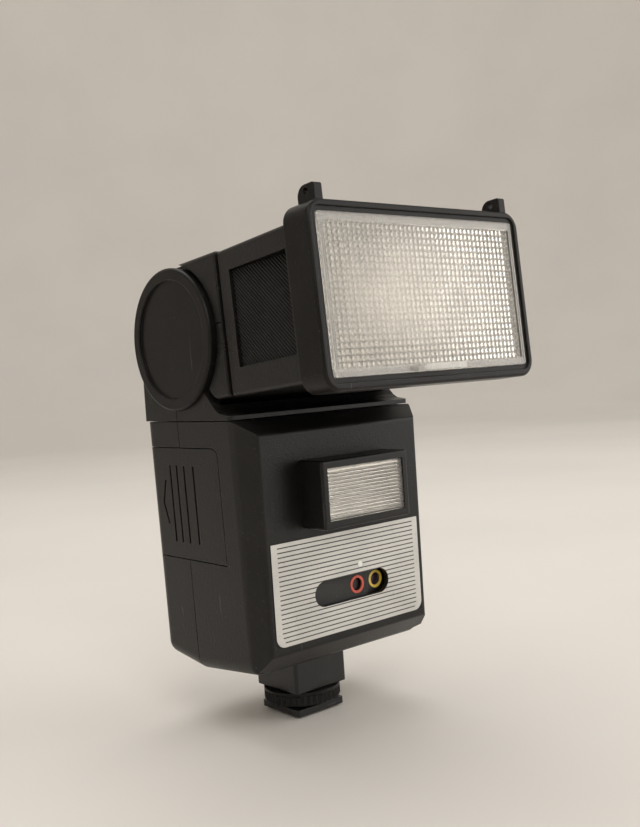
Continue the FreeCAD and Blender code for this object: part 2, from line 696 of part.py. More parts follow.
def body_screws():
    """Four cross-head screws that join the shells from the rear."""
    screws = []
    for x, z in screw_places():
        screw = rod("y", SCREW_SHAFT_R, (-3.0, REAR_IN), x, z)
        screw = screw.fuse(rod("y", SCREW_HEAD_R, (REAR_IN, REAR_IN + 1.5), x, z))
        for wide, tall in ((1.6, 0.3), (0.3, 1.6)):
            screw = screw.cut(box(centred(wide, x), (REAR_IN + 0.7, REAR_IN + 2), centred(tall, z)))
        screws.append(screw)
    write("body_screws", Part.makeCompound(screws))


# ---- turret -------------------------------------------------------------------------
NECK_Z = BODY_Z[1] + NECK_GAP
LIP_Z = 99.27           # top of the turret's front wall, under the level head
HUB_FLANGE_R = 13.0
HUB_FLANGE_Z = (95.5, 96.3)
CLIP_R = 10.6
CLIP_SINK_X = 34.46     # floor of the ear's outer counterbore


def neck_profile():
    """Side outline of the turret below the pivot."""
    slope = [(NECK_FRONT, 96.2), (-15.9, 96.9), (-14.0, 98.0), (-7.0, 104.9)]
    pivot = [(PIVOT_Y, PIVOT_Z), (NECK_REAR, 109.0)]
    return [(NECK_REAR, NECK_Z), (NECK_FRONT, NECK_Z)] + slope + pivot


def turret():
    """Two halves that carry the head between two ears, with the swivel hub between them."""
    base = prism_x(neck_profile(), centred(NECK_HALF))
    disc = rod("x", EAR_R, centred(NECK_HALF), PIVOT_Y, PIVOT_Z)
    neck = base.fuse(disc).removeSplitter()
    corners = [e for e in along(neck, "z") if e.Vertexes[0].Point.y < 0 or e.Length > 10]
    neck = neck.makeFillet(1.5, corners)
    between = centred(EAR_IN)
    neck = neck.cut(rod("x", CRADLE_R, between, PIVOT_Y, PIVOT_Z))
    neck = neck.cut(box(between, (-60, PIVOT_Y), (LIP_Z, 200)))
    neck = neck.cut(box(between, (PIVOT_Y, 60), (106.6, 200)))
    outer_wall = rod("x", CRADLE_R + WALL, centred(40), PIVOT_Y, PIVOT_Z)
    hollow = box(centred(EAR_IN - WALL), (12.0, NECK_REAR - WALL), (97.0, 106.0)).cut(outer_wall)
    neck = neck.cut(hollow)
    neck = neck.cut(rod("x", AXLE_R + FIT, centred(40), PIVOT_Y, PIVOT_Z))
    counterbore = rod("x", CLIP_R + 0.4, (CLIP_SINK_X, 40), PIVOT_Y, PIVOT_Z)
    neck = neck.cut(counterbore).cut(mirror_x(counterbore))
    neck = neck.cut(rod("z", HUB_R, (90, HUB_FLANGE_Z[1]), 0, SWIVEL_Y))
    neck = neck.cut(rod("z", HUB_FLANGE_R, HUB_FLANGE_Z, 0, SWIVEL_Y))
    neck = neck.cut(rod("z", HUB_BORE_R, (90, 100), 0, SWIVEL_Y))
    groove_slab = box((-60, 60), centred(SEAM / 2, SPLIT_Y), (0, 200))
    for side in (-1, 1):
        skin = (side * (NECK_HALF - SEAM_DEPTH), side * 60)
        neck = neck.cut(groove_slab.common(box((min(skin), max(skin)), (-60, 60), (0, 98.5))))
    front_half = box((-60, 60), (-60, SPLIT_Y), (0, 200))
    write("turret_front", neck.common(front_half))
    write("turret_rear", neck.cut(front_half))

    hub = rod("z", HUB_R, (90.4, HUB_FLANGE_Z[0]), 0, SWIVEL_Y)
    hub = hub.fuse(rod("z", HUB_FLANGE_R, HUB_FLANGE_Z, 0, SWIVEL_Y))
    hub = hub.cut(rod("z", HUB_BORE_R, (90, 97), 0, SWIVEL_Y))
    groove = (TOP_IN - GAP - 1.1, TOP_IN - GAP)
    groove_r = HUB_R - 0.6
    hub = hub.cut(tube("z", HUB_R + 1, groove_r, groove, 0, SWIVEL_Y))
    write("swivel_hub", hub.removeSplitter())
    write("swivel_retaining_ring", tube("z", HUB_FLANGE_R, groove_r, groove, 0, SWIVEL_Y))


def pivot_caps():
    """Round covers over the two ears, each with a raised rim."""
    cap = rod("x", CAP_R, (NECK_HALF, CAP_X), PIVOT_Y, PIVOT_Z)
    cap = cap.cut(rod("x", CAP_RECESS_R, (CAP_X - 0.9, CAP_X + 1), PIVOT_Y, PIVOT_Z))
    face_edges = edges_where(cap, lambda p: p.x > CAP_X - 0.01)
    inner = [e for e in face_edges if e.Curve.Radius < CAP_R - 1]
    outer = [e for e in face_edges if e.Curve.Radius > CAP_R - 1]
    cap = cap.makeFillet(CAP_ROUND, outer)
    cap = cap.makeFillet(0.35, inner)
    write("pivot_cap_right", cap)
    write("pivot_cap_left", mirror_x(cap))


# ---- head ---------------------------------------------------------------------------
BARREL_WALL_X = 29.9    # inner face of the head's end walls
INNER_HALF = 30.2       # inner barrel, half its width
INNER_N = (-17.4, 19.0)
INNER_S = (14.0, 58.0)
INNER_WALL = 1.4


def head_shells():
    """Rear part of the head: a drum on the tilt axis that runs out into a box."""
    drum = rod("x", BARREL_R, centred(BARREL_HALF), 0, 0)
    core = head_box(centred(BARREL_HALF), (0, HEAD_S), HEAD_N)
    wide = head_box(centred(HEAD_HALF), (0, HEAD_S), HEAD_N)
    wide = wide.cut(rod("x", EAR_R + 1.2, centred(60), 0, 0))
    chamfer_at = -1.43
    foot_s = chamfer_at - HEAD_N[0]
    chamfer = [(-foot_s, HEAD_N[0] - 5), (-foot_s, HEAD_N[0]), (0, chamfer_at)]
    chamfer += [(5, chamfer_at), (5, HEAD_N[0] - 5)]
    wide = wide.cut(prism_x(chamfer, centred(60)))
    outer = drum.fuse(core).fuse(wide).removeSplitter()
    corners = [e for e in along(outer, "y") if abs(e.Vertexes[0].Point.x) > HEAD_HALF - 0.1]
    outer = outer.makeFillet(1.2, corners)
    outer = outer.makeChamfer(0.4, edges_where(outer, lambda p: p.y < -HEAD_S + 0.01))
    cavity = rod("x", BARREL_R - WALL, centred(BARREL_WALL_X), 0, 0)
    seat = head_box(centred(INNER_HALF + FIT), (8, HEAD_S + 1), grown(INNER_N, FIT))
    shell = outer.cut(cavity).cut(seat).cut(rod("x", AXLE_R + FIT, centred(60), 0, 0))
    groove = box((-60, 60), (-60, 60), centred(SEAM / 2, HEAD_SPLIT))
    skin = outer.cut(head_box(centred(HEAD_HALF - SEAM_DEPTH), (-15, 60), (-60, 60)))
    skin = skin.cut(rod("x", EAR_R + 1.3, centred(60), 0, 0))
    shell = shell.cut(groove.common(skin))
    upper = box((-60, 60), (-60, 60), (HEAD_SPLIT, 60))
    write("head_top_shell", head_placed(shell.common(upper)))
    write("head_bottom_shell", head_placed(shell.cut(upper)))

    barrel = head_box(centred(INNER_HALF), INNER_S, INNER_N)
    bore_n = grown(INNER_N, -INNER_WALL)
    barrel = barrel.cut(head_box(centred(INNER_HALF - INNER_WALL), grown(INNER_S, 1), bore_n))
    write("inner_barrel", head_placed(barrel))


def head_axles():
    """Hollow axles that stand out of the head through the ears, and their clips."""
    flange = rod("x", AXLE_R + 2, (BARREL_WALL_X - 1.5, BARREL_WALL_X), 0, 0)
    axle = flange.fuse(rod("x", AXLE_R, (BARREL_WALL_X, 35.4), 0, 0))
    axle = axle.cut(rod("x", AXLE_R - 2.5, (20, 40), 0, 0))
    clip_x = (CLIP_SINK_X + GAP, CLIP_SINK_X + GAP + 0.6)
    axle = axle.cut(tube("x", AXLE_R + 1, AXLE_R - 0.5, clip_x, 0, 0)).removeSplitter()
    write("pivot_axle_right", head_placed(axle))
    write("pivot_axle_left", head_placed(mirror_x(axle)))
    clip = tube("x", CLIP_R, AXLE_R - 0.5, clip_x, 0, 0)
    write("axle_clips", head_placed(both_sides(clip)))


def main_light():
    """Main reflector, flash tube, tube grommets and trigger coil."""
    depth = (26.0, 56.0)
    mouth = (INNER_N[0] + INNER_WALL + 0.2, INNER_N[1] - INNER_WALL - 0.2)
    half = INNER_HALF - INNER_WALL - 0.2
    middle = (mouth[0] + mouth[1]) / 2
    reflector = trough(half, depth, mouth, 0.5, facing_front)
    tube_s = depth[0] + 6.0
    reflector = reflector.cut(rod("x", 3.0, centred(60), -tube_s, middle))
    write("main_reflector", head_placed(reflector))
    glass_half = half - 1.0
    write("main_flash_tube", head_placed(rod("x", 2.25, centred(glass_half), -tube_s, middle)))
    grommet = tube("x", 2.95, 2.25, (glass_half - 2.0, glass_half + 0.8), -tube_s, middle)
    write("tube_grommets", head_placed(both_sides(grommet)))
    write("trigger_coil", head_placed(rod("x", 4.0, (-7.0, 7.0), 9.0, 8.0)))


# ---- zoom ---------------------------------------------------------------------------
def sleeve_half(s):
    """Half-width of the flaring zoom sleeve at a distance forward."""
    share = (s - SLEEVE_S[0]) / (SLEEVE_S[1] - SLEEVE_S[0])
    return SLEEVE_HALF[0] + share * (SLEEVE_HALF[1] - SLEEVE_HALF[0])


def flare(s, inset, n):
    """Block between two distances forward that follows the sleeve's flare."""
    rear = sleeve_half(s[0]) - inset
    front = sleeve_half(s[1]) - inset
    return prism_z([(-rear, -s[0]), (rear, -s[0]), (front, -s[1]), (-front, -s[1])], n)


GRIP_FLOOR_X = 33.1     # floor of the grip recess, parallel to the head's axis
GRIP_T = 0.8
SLEEVE_ROOM = 31.4      # half-width of the room inside the sleeve
MOUTH_S = 59.8          # the room widens to the lens from here


def zoom_sleeve():
    """Flaring sleeve that slides on the inner barrel, with a grip pad let into each side."""
    outer = flare(SLEEVE_S, 0, SLEEVE_N)
    sides = [e for e in outer.Edges if abs(e.Vertexes[0].Point.x) > 33 and long_forward(e)]
    outer = outer.makeFillet(1.2, sides)
    outer = outer.makeChamfer(0.4, edges_where(outer, lambda p: p.y > -SLEEVE_S[0] - 0.01))
    guide = head_box(centred(INNER_HALF + GAP), grown(SLEEVE_S, 1), grown(INNER_N, GAP))
    room = head_box(centred(SLEEVE_ROOM), (SLEEVE_S[0] + 4, SLEEVE_S[1]), grown(INNER_N, GAP))
    mouth = flare((MOUTH_S, SLEEVE_S[1]), WALL, grown(INNER_N, GAP))
    sleeve = outer.cut(guide).cut(room).cut(mouth)
    recess = head_box((GRIP_FLOOR_X, 60), GRIP_S, GRIP_N)
    sleeve = sleeve.cut(recess).cut(mirror_x(recess))
    write("zoom_sleeve", head_placed(sleeve))
    pad_n = grown(GRIP_N, -0.2)
    pad = head_box((GRIP_FLOOR_X, GRIP_FLOOR_X + GRIP_T), grown(GRIP_S, -0.2), pad_n)
    write("zoom_grip_right", head_placed(pad))
    write("zoom_grip_left", head_placed(mirror_x(pad)))


def long_forward(edge):
    """True for an edge that runs the length of the sleeve."""
    ends = [vertex.Point for vertex in edge.Vertexes]
    return abs(ends[0].y - ends[1].y) > 30


LENS_S = (69.2, 71.5)   # fixed lens


def bezel():
    """Front frame of the head with two accessory lugs."""
    frame = head_box(centred(BEZEL_HALF), BEZEL_S, BEZEL_N)
    frame = frame.makeFillet(5.0, along(frame, "y"))
    front = edges_where(frame, lambda p: p.y < -BEZEL_S[1] + 0.01)
    frame = frame.makeFillet(0.9, front)
    clear = 0.15
    seat = head_box(centred(LENS_HALF + clear), (LENS_S[0], BEZEL_S[1] + 1), grown(LENS_N, clear))
    frame = frame.cut(seat.makeFillet(1.0, along(seat, "y")))
    step_half = BEZEL_HALF - 3.15 + 1.3
    step_n = grown(LENS_N, 1.3)
    step = head_box(centred(step_half), (BEZEL_S[1] - 0.6, BEZEL_S[1] + 1), step_n)
    frame = frame.cut(step.makeFillet(2.5, along(step, "y")))
    rim = edges_where(frame, lambda p: on_step_rim(p, step_half, step_n))
    frame = frame.makeFillet(0.35, rim)
    opening = grown(LENS_N, -1.6)
    frame = frame.cut(head_box(centred(LENS_HALF - 1.6), (0, LENS_S[0] + 1), opening))
    for side in (-1, 1):
        frame = frame.fuse(lug(side))
    write("lens_bezel", head_placed(frame.removeSplitter()))


def on_step_rim(point, half, n):
    """True on the outer edge of the step in the bezel's front face."""
    inside = abs(point.x) < half + 0.01 and n[0] - 0.01 < point.z < n[1] + 0.01
    outside = abs(point.x) > half - 1.1 or point.z < n[0] + 1.1 or point.z > n[1] - 1.1
    return point.y < -BEZEL_S[1] + 0.01 and inside and outside


def lug(side):
    """Small ear with a cross hole, rounded at the rear."""
    x = (LUG_X[0], LUG_X[1]) if side > 0 else (-LUG_X[1], -LUG_X[0])
    block = head_box(x, LUG_S, (BEZEL_N[1] - 1.5, LUG_N))
    top = [e for e in along(block, "x") if e.Vertexes[0].Point.z > LUG_N - 0.1]
    rear_top = [e for e in top if e.Vertexes[0].Point.y > -LUG_S[0] - 0.1]
    block = block.makeFillet(3.0, rear_top)
    front_top = edges_where(block, lambda p: p.y < -LUG_S[1] + 0.01 and p.z > LUG_N - 0.01)
    block = block.makeFillet(0.7, front_top)
    return block.cut(rod("x", LUG_HOLE_R, grown(x, 1), -LUG_HOLE[0], LUG_HOLE[1]))


def lenses():
    """Fixed ribbed lens and the clear panel that pulls off by its tab."""
    lens = head_box(centred(LENS_HALF), LENS_S, LENS_N)
    lens = lens.makeFillet(0.9, along(lens, "y"))
    ribs = 18
    pitch = 2 * (LENS_HALF - 2.5) / ribs
    for index in range(ribs):
        x = -(LENS_HALF - 2.5) + (index + 0.5) * pitch
        groove = rod("z", pitch * 0.55, grown(LENS_N, -2.0), x, -LENS_S[0] + pitch * 0.25)
        lens = lens.cut(groove)
    write("fixed_lens", head_placed(lens))
    panel = head_box(centred(LENS_HALF), PANEL_S, LENS_N)
    panel = panel.makeFillet(0.9, along(panel, "y"))
    tab = head_box(centred(TAB_HALF), (PANEL_S[1], TAB_S), (LENS_N[0] + 0.2, -17.7))
    tab = tab.makeFillet(0.6, [e for e in along(tab, "z") if e.Vertexes[0].Point.y < -TAB_S + 0.1])
    write("wide_panel", head_placed(panel.fuse(tab).removeSplitter()))


body_shells()
label_plate()
sensor_window()
fill_flash()
battery_door()
batteries()
electronics()
foot()
rear_controls()
body_screws()
turret()
pivot_caps()
head_shells()
head_axles()
main_light()
zoom_sleeve()
bezel()
lenses()
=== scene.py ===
import json
import math

import bmesh
import bpy
from mathutils import Matrix, Vector


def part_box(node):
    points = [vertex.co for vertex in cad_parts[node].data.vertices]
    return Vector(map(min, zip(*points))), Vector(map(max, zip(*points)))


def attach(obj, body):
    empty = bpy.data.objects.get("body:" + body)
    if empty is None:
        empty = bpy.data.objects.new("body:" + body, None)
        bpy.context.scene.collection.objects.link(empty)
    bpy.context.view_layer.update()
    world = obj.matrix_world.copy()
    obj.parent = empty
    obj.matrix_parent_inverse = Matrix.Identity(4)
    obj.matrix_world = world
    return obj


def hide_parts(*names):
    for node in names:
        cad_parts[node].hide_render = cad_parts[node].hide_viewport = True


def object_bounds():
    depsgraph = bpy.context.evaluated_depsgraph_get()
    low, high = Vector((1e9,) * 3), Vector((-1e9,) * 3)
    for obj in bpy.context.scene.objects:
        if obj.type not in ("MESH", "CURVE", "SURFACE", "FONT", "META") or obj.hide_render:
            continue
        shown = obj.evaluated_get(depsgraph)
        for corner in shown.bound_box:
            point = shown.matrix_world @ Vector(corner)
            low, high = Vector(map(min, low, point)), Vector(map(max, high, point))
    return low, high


# Looks of a shoe-mount speedlight flash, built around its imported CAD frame. Lengths in the
# design are millimetres and turn into metres through MM. The head has its own coordinates:
# x across, s forward and n up, measured from the tilt axis.
MM = 0.001
TILT = math.radians(4.26)
PIVOT = Vector((0.0, 5.33, 119.37))

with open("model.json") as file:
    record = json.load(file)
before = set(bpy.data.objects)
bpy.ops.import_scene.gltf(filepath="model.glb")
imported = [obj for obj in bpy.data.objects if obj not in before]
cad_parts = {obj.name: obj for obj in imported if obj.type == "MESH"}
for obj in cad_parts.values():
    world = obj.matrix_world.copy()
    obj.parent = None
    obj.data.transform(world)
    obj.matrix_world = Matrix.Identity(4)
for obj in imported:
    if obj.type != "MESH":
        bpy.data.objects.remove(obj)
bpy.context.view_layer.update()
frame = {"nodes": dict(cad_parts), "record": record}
nodes = frame["nodes"]
slot_of = {part["node"]: part["material_slot"] for part in frame["record"]["subparts"]}


def head_point(x, s, n):
    """Row-frame point, in metres, of a head coordinate in millimetres."""
    forward = Vector((0.0, -math.cos(TILT), math.sin(TILT)))
    up = Vector((0.0, math.sin(TILT), math.cos(TILT)))
    return (PIVOT + Vector((x, 0, 0)) + forward * s + up * n) * MM


# ---- camera -------------------------------------------------------------------------
CAMERA_PLACE = Vector((-197.6, -253.7, 107.4)) * MM
CAMERA_RIGHT = Vector((0.76263, -0.64342, -0.06636))
CAMERA_DOWN = Vector((-0.07844, 0.00984, -0.99687))
CAMERA_FORWARD = Vector((0.64206, 0.76545, -0.04296))
CAMERA_LENS = 43.72     # millimetres, on a 36 mm sensor along the picture's long side


def add_camera():
    data = bpy.data.cameras.new("camera")
    data.lens = CAMERA_LENS
    data.sensor_width = 36.0
    data.clip_start = 0.01
    camera = bpy.data.objects.new("camera", data)
    bpy.context.scene.collection.objects.link(camera)
    turn = Matrix((CAMERA_RIGHT, -CAMERA_DOWN, -CAMERA_FORWARD)).transposed()
    camera.matrix_world = Matrix.Translation(CAMERA_PLACE) @ turn.to_4x4()
    bpy.context.scene.camera = camera


# ---- lens ---------------------------------------------------------------------------
LENS_X = (-36.9, 36.9)
LENS_N = (-19.55, 21.85)
LENS_FACE_S = 72.5      # middle of the clear panel's thickness


# ---- node materials -----------------------------------------------------------------
# The mix node keeps its colour sockets at these places.
MIX_FACTOR = 0
MIX_FIRST = 6
MIX_SECOND = 7
MIX_RESULT = 2
BEVEL_SAMPLES = 6


class Shader:
    """A procedural material that is put together node by node."""

    def __init__(self, name):
        self.material = bpy.data.materials.new(name)
        self.material.use_nodes = True
        self.tree = self.material.node_tree
        self.tree.nodes.clear()
        self.bsdf = self.add("ShaderNodeBsdfPrincipled")
        output = self.add("ShaderNodeOutputMaterial")
        self.tree.links.new(self.bsdf.outputs["BSDF"], output.inputs["Surface"])
        self.place = self.add("ShaderNodeTexCoord").outputs["Object"]

    def add(self, kind, **values):
        """Adds a node and feeds its inputs. An underscore stands for the space in an input's name."""
        node = self.tree.nodes.new(kind)
        for name, value in values.items():
            self.feed(node, name.replace("_", " "), value)
        return node

    def feed(self, node, name, value):
        """Sets one input, which is named or numbered: a socket is linked, anything else is set."""
        socket = node.inputs[name]
        if isinstance(value, bpy.types.NodeSocket):
            self.tree.links.new(value, socket)
        else:
            socket.default_value = value

    def noise(self, scale, detail=2.0, roughness=0.5, place=None):
        values = {"Vector": place or self.place, "Scale": scale, "Detail": detail, "Roughness": roughness}
        return self.add("ShaderNodeTexNoise", **values).outputs["Fac"]

    def stretched(self, scale, turn=(0.0, 0.0, 0.0)):
        """The object's coordinates, turned and scaled along each axis."""
        node = self.add("ShaderNodeMapping", Vector=self.place, Scale=scale, Rotation=turn)
        return node.outputs["Vector"]

    def span(self, value, low, high, to_low=0.0, to_high=1.0):
        """Maps a value from one range to another, clamped and eased."""
        ends = {"From_Min": low, "From_Max": high, "To_Min": to_low, "To_Max": to_high}
        node = self.add("ShaderNodeMapRange", Value=value, **ends)
        node.interpolation_type = "SMOOTHSTEP"
        return node.outputs["Result"]

    def maths(self, operation, first, second):
        node = self.add("ShaderNodeMath")
        node.operation = operation
        self.feed(node, 0, first)
        self.feed(node, 1, second)
        return node.outputs["Value"]

    def mix(self, factor, first, second):
        """Blends two colours."""
        node = self.add("ShaderNodeMix")
        node.data_type = "RGBA"
        for index, value in ((MIX_FACTOR, factor), (MIX_FIRST, first), (MIX_SECOND, second)):
            self.feed(node, index, value)
        return node.outputs[MIX_RESULT]

    def rounded(self, radius):
        """Normal of the surface with its edges rounded off."""
        node = self.add("ShaderNodeBevel", Radius=radius)
        node.samples = BEVEL_SAMPLES
        return node.outputs["Normal"]

    def edges(self, rounded):
        """1 on a sharp edge, 0 on a flat: how far the rounded normal leans away."""
        true = self.add("ShaderNodeNewGeometry").outputs["Normal"]
        node = self.add("ShaderNodeVectorMath")
        node.operation = "DOT_PRODUCT"
        self.feed(node, 0, rounded)
        self.feed(node, 1, true)
        return self.span(self.maths("SUBTRACT", 1.0, node.outputs["Value"]), 0.02, 0.3)

    def bump(self, height, depth, normal=None, strength=1.0):
        values = {"Height": height, "Distance": depth, "Strength": strength}
        if normal is not None:
            values["Normal"] = normal
        return self.add("ShaderNodeBump", **values).outputs["Normal"]

    def surface(self, **values):
        for name, value in values.items():
            self.feed(self.bsdf, name.replace("_", " "), value)
        return self.material


def grey(level, warm=1.0):
    """A near-neutral colour, a little warm."""
    return (level * warm, level, level / warm, 1.0)


def moulded(name, level, rough, grain=1.0, wear_and_edge_highlight=1.0, warm=1.02, gloss=0.26):
    """Moulded plastic: spark-eroded grain, handling shine, fine scratches, dust, and worn edges that are
    also lightened as a painted edge highlight.
    """
    m = Shader(name)
    soft = m.rounded(0.25 * MM)
    broad = m.noise(42.0, 3.0)
    fine = m.noise(2600.0, 3.0, 0.6)
    pits = m.add("ShaderNodeTexVoronoi", Vector=m.place, Scale=1500.0).outputs["Distance"]
    handled = m.span(m.noise(16.0, 2.0), 0.42, 0.66)
    streaks = m.noise(1.0, 2.0, 0.55, m.stretched((60.0, 900.0, 2400.0), (0.3, 0.5, 0.2)))
    crossed = m.noise(1.0, 2.0, 0.55, m.stretched((2200.0, 900.0, 50.0), (0.2, 0.4, 0.9)))
    scratch = m.maths("MAXIMUM", m.span(streaks, 0.70, 0.76), m.span(crossed, 0.71, 0.77))
    specks = m.maths("MULTIPLY", m.span(m.noise(3600.0, 1.0), 0.74, 0.79), m.span(m.noise(55.0), 0.45, 0.7))
    # Sharp edges broken up by noise: partly edge wear, partly a painted highlight along the edges.
    worn_and_lit_edges = m.maths("MULTIPLY", m.edges(soft), m.span(m.noise(320.0, 4.0, 0.65), 0.40, 0.62))
    colour = m.mix(m.span(broad, 0.3, 0.7), grey(level * 0.8, warm), grey(level * 1.25, warm))
    raised = m.maths("MULTIPLY", m.span(fine, 0.45, 0.7), 0.5 * grain)
    colour = m.mix(raised, colour, grey(level * 1.8, warm))
    colour = m.mix(m.maths("MULTIPLY", scratch, 0.35 * wear_and_edge_highlight), colour, grey(0.11))
    # Painted edge highlight mixed with edge wear: sharp edges take a much lighter colour.
    colour = m.mix(m.maths("MULTIPLY", worn_and_lit_edges, 0.45 * wear_and_edge_highlight), colour, grey(0.085, 1.04))
    colour = m.mix(m.maths("MULTIPLY", specks, 0.6), colour, grey(0.32, 1.03))
    roughness = m.span(broad, 0.25, 0.75, rough * 0.88, rough * 1.12)
    roughness = m.maths("SUBTRACT", roughness, m.maths("MULTIPLY", handled, rough * 0.18))
    roughness = m.maths("SUBTRACT", roughness, m.maths("MULTIPLY", worn_and_lit_edges, rough * 0.25))
    relief = m.maths("ADD", m.maths("MULTIPLY", pits, 0.7), fine)
    relief = m.maths("SUBTRACT", relief, m.maths("MULTIPLY", scratch, 0.5 / max(grain, 0.2)))
    normal = m.bump(relief, 0.045 * MM * grain, soft)
    return m.surface(Base_Color=colour, Roughness=roughness, Normal=normal, Specular_IOR_Level=gloss)


def metal(name, colour, rough, brushed=(1.0, 1.0, 1.0), relief=0.01, tarnish=(0.0, (0, 0, 0, 1))):
    """Metal with brushed grain, uneven polish and a little tarnish."""
    m = Shader(name)
    soft = m.rounded(0.15 * MM)
    lines = m.noise(1.0, 3.0, 0.6, m.stretched(tuple(2400.0 * part for part in brushed)))
    cloud = m.noise(130.0, 4.0, 0.6)
    dark = tuple(part * 0.72 for part in colour[:3]) + (1.0,)
    shade = m.mix(m.span(cloud, 0.35, 0.7), colour, dark)
    shade = m.mix(m.maths("MULTIPLY", m.span(lines, 0.35, 0.75), 0.25), shade, dark)
    shade = m.mix(m.maths("MULTIPLY", m.span(cloud, 0.5, 0.72), tarnish[0]), shade, tarnish[1])
    dull = m.span(cloud, 0.4, 0.8, 0.0, 0.12)
    roughness = m.maths("ADD", m.span(lines, 0.3, 0.7, rough * 0.8, rough * 1.2), dull)
    normal = m.bump(lines, relief * MM, soft)
    return m.surface(Base_Color=shade, Metallic=1.0, Roughness=roughness, Normal=normal)


def label_metal(face_y):
    """Satin silver plate. Whatever lies below its face, lines and edges alike, is dark."""
    m = Shader("label_metal")
    depth = m.add("ShaderNodeSeparateXYZ", Vector=m.place).outputs["Y"]
    sunk = m.span(depth, face_y + 0.012 * MM, face_y + 0.03 * MM)
    lines = m.noise(1.0, 3.0, 0.6, m.stretched((90.0, 2500.0, 5200.0)))
    cloud = m.noise(70.0, 4.0, 0.55)
    silver = m.mix(m.span(cloud, 0.3, 0.72), (0.60, 0.59, 0.56, 1), (0.53, 0.52, 0.495, 1))
    silver = m.mix(m.maths("MULTIPLY", m.span(lines, 0.4, 0.75), 0.25), silver, (0.44, 0.43, 0.41, 1))
    spots = m.maths("MULTIPLY", m.span(m.noise(900.0, 2.0), 0.68, 0.74), 0.35)
    silver = m.mix(spots, silver, (0.25, 0.24, 0.22, 1))
    paint = m.mix(m.span(m.noise(800.0, 3.0), 0.35, 0.7), (0.035, 0.035, 0.034, 1), (0.075, 0.073, 0.07, 1))
    colour = m.mix(sunk, silver, paint)
    metallic = m.maths("SUBTRACT", 0.55, m.maths("MULTIPLY", sunk, 0.55))
    roughness = m.maths("ADD", m.span(lines, 0.3, 0.7, 0.36, 0.48), m.span(cloud, 0.4, 0.8, 0.0, 0.1))
    normal = m.bump(lines, 0.006 * MM, m.rounded(0.08 * MM))
    return m.surface(Base_Color=colour, Metallic=metallic, Roughness=roughness, Normal=normal)


def clear(name, colour, through, rough, cloud=0.25, ior=1.49, heart=0.0):
    """Clear moulded plastic or glass, slightly milky with age, with dust and flow marks.

    With heart it is milkier in the middle of the lens than at its border.
    """
    m = Shader(name)
    haze = m.noise(60.0, 4.0, 0.55)
    dust = m.maths("MULTIPLY", m.span(m.noise(2600.0, 2.0), 0.66, 0.74), m.span(m.noise(90.0), 0.4, 0.7))
    flow = m.noise(1.0, 3.0, 0.5, m.stretched((220.0, 900.0, 420.0)))
    tint = tuple(part * 0.9 for part in colour[:3]) + (1.0,)
    shade = m.mix(m.span(haze, 0.35, 0.7), colour, tint)
    shade = m.mix(m.maths("MULTIPLY", dust, 0.5), shade, grey(0.45, 1.04))
    clarity = m.maths("SUBTRACT", through, m.maths("MULTIPLY", m.span(haze, 0.4, 0.75), cloud * through))
    if heart:
        middle = head_point(0, LENS_FACE_S, (LENS_N[0] + LENS_N[1]) / 2)
        reach = (1 / (LENS_X[1] * MM), 0.0, 2 / ((LENS_N[1] - LENS_N[0]) * MM))
        shift = [-place * scale for place, scale in zip(middle, reach)]
        offset = m.add("ShaderNodeMapping", Vector=m.place, Scale=reach, Location=shift)
        away = m.add("ShaderNodeVectorMath", Vector=offset.outputs["Vector"])
        away.operation = "LENGTH"
        milk = m.span(away.outputs["Value"], 0.35, 1.05, heart, heart * 0.25)
        clarity = m.maths("SUBTRACT", clarity, milk)
    dusty = m.maths("MULTIPLY", dust, 0.2)
    roughness = m.maths("ADD", m.span(flow, 0.3, 0.7, rough * 0.7, rough * 1.3), dusty)
    values = {"Base_Color": shade, "Transmission_Weight": clarity, "Roughness": roughness}
    values.update(IOR=ior, Normal=m.bump(flow, 0.002 * MM))
    return m.surface(**values)


def mottled(name, light, dark, rough, scale=400.0, relief=0.02):
    """Two-tone material for small coloured and inner parts."""
    m = Shader(name)
    soft = m.rounded(0.12 * MM)
    pattern = m.noise(scale, 4.0, 0.6)
    fine = m.noise(3000.0, 2.0)
    colour = m.mix(m.span(pattern, 0.32, 0.7), light, dark)
    roughness = m.span(pattern, 0.3, 0.7, rough * 0.8, rough * 1.2)
    normal = m.bump(m.maths("ADD", pattern, fine), relief * MM, soft)
    return m.surface(Base_Color=colour, Roughness=roughness, Normal=normal)


